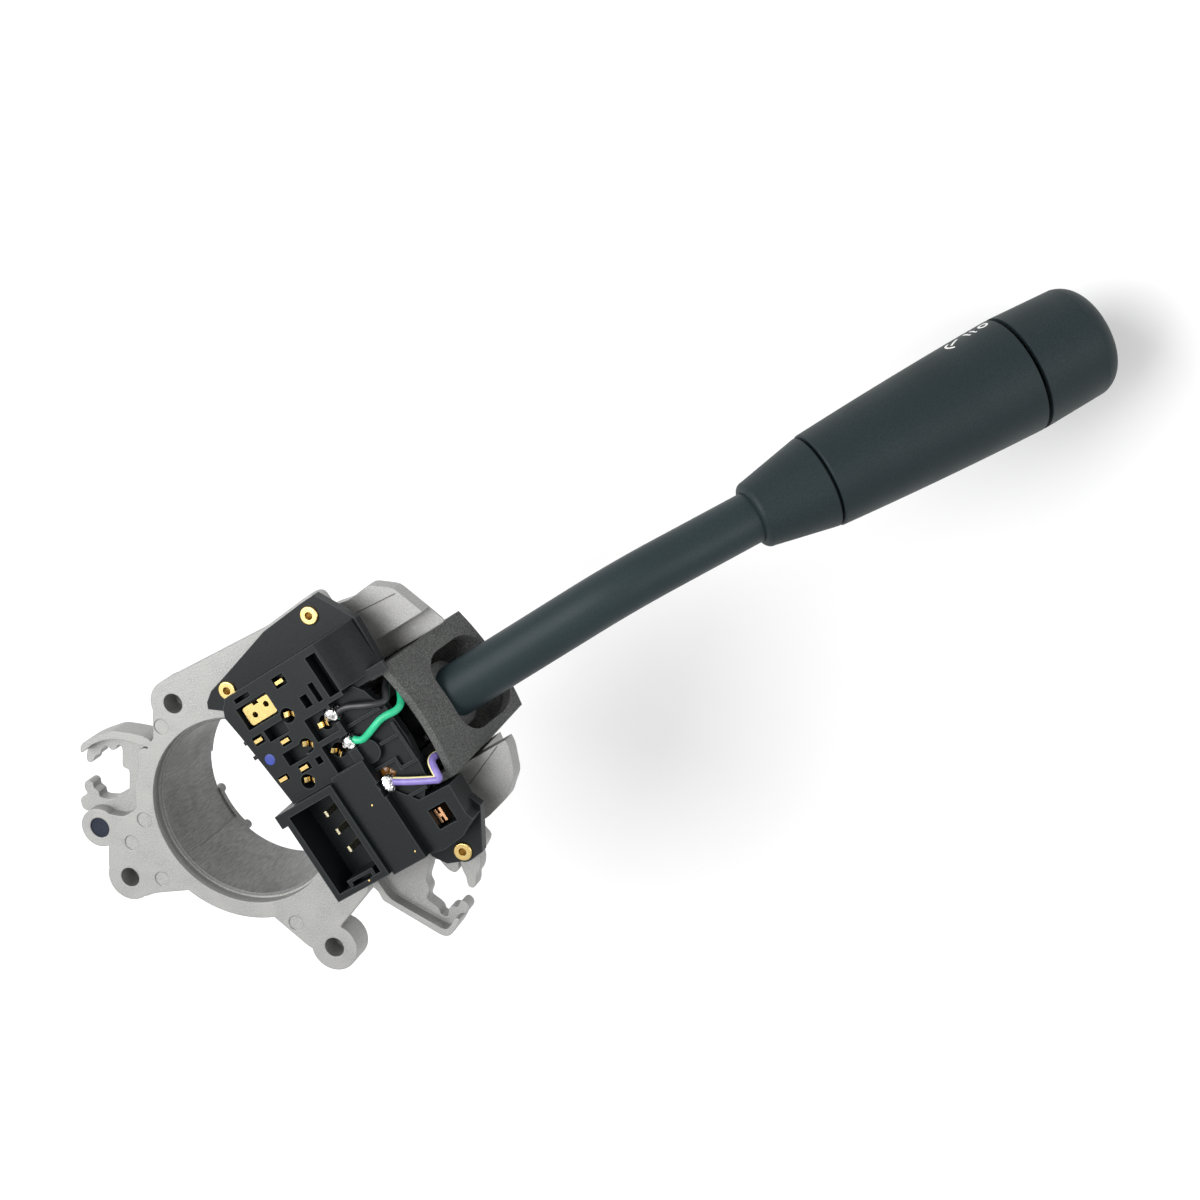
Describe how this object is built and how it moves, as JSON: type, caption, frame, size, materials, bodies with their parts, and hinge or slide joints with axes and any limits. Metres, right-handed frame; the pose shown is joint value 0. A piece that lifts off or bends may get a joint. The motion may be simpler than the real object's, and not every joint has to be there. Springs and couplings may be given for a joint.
{
  "type": "combination stalk switch",
  "caption": "Steering column switch: cast bracket with clamp bore, terminal housing with socket, and a bent stalk whose handle turns, tilts and has a rotating push end cap.",
  "frame": {"origin": "on the axis of the column bore, in the front face of the bracket's plate, at the mouth of the bore's lip", "axes": "+Z along the bore axis towards the front, where the terminals are; +X from the bore towards the stalk"},
  "size_m": [0.2755, 0.0906, 0.1195],
  "materials": {
    "cast_aluminium": "die cast, fine grain, satin",
    "housing_plastic": "moulded, slightly glossy black",
    "cover_plastic": "grained dark grey",
    "stalk_plastic": "fine grain, dark slate",
    "handle_plastic": "fine grain, dark slate",
    "inner_plastic": "plain black plastic",
    "plug_rubber": "black, semi matt",
    "brass": "bright, slightly worn",
    "copper": "copper coloured strip",
    "tinned_pin": "tin plated",
    "solder": "solder, bright",
    "steel": "plain steel",
    "grey_wire": "wire insulation",
    "green_wire": "wire insulation",
    "violet_wire": "wire insulation with a pale yellow stripe"
  },
  "bodies": {
    "root": {"column_bracket": "cast_aluminium", "boss_plug": "plug_rubber", "terminal_housing": "housing_plastic", "connector_socket": "housing_plastic", "eyelet_rivets": "brass", "contact_plate": "brass", "blade_contacts": "brass", "spring_contacts": "brass", "socket_pins": "tinned_pin", "window_contact": "copper", "solder_posts": "brass", "solder_joints": "solder", "lever_cover": "cover_plastic", "detent_track": "housing_plastic", "fixed_contacts": "brass", "wire_terminals": "tinned_pin", "grey_wire": "grey_wire", "green_wire": "green_wire", "violet_wire": "violet_wire"},
    "carrier": {"lever_carrier": "inner_plastic", "turn_trunnions": "steel", "tilt_pin": "steel", "detent_plunger": "steel", "detent_spring": "steel", "tilt_spring": "steel", "turn_contact": "brass"},
    "lever": {"lever_hub": "inner_plastic", "lever_core": "steel", "stalk_tube": "stalk_plastic", "stalk_shutter": "cover_plastic", "handle_sleeve": "handle_plastic", "handle_grip": "handle_plastic", "switch_body": "inner_plastic", "wiper_contacts": "brass", "washer_contact": "brass"},
    "rotor": {"wiper_rotor": "inner_plastic", "washer_spring": "steel"},
    "cap": {"end_cap": "handle_plastic", "push_rod": "steel"}
  },
  "joints": [
    {"name": "turn_signal", "type": "hinge", "parent": "root", "child": "carrier", "pos_m": [0.0455, -0.0022, -0.0074], "axis": [0, 0, 1], "range_deg": [-10, 10]},
    {"name": "main_beam", "type": "hinge", "parent": "carrier", "child": "lever", "pos_m": [0.0455, -0.0022, -0.0074], "axis": [0, 1, 0], "range_deg": [-3, 3], "stiffness_Nm_per_rad": 25},
    {"name": "wiper_turn", "type": "hinge", "parent": "lever", "child": "rotor", "pos_m": [0.14016, -0.00541, -0.04264], "axis": [0.8339, -0.0891, -0.5446], "range_deg": [0, 90]},
    {"name": "washer_push", "type": "slide", "parent": "rotor", "child": "cap", "axis": [-0.8339, 0.0891, 0.5446], "range_m": [0, 0.0011], "stiffness_N_per_m": 3000, "springref_m": -0.0005}
  ]
}
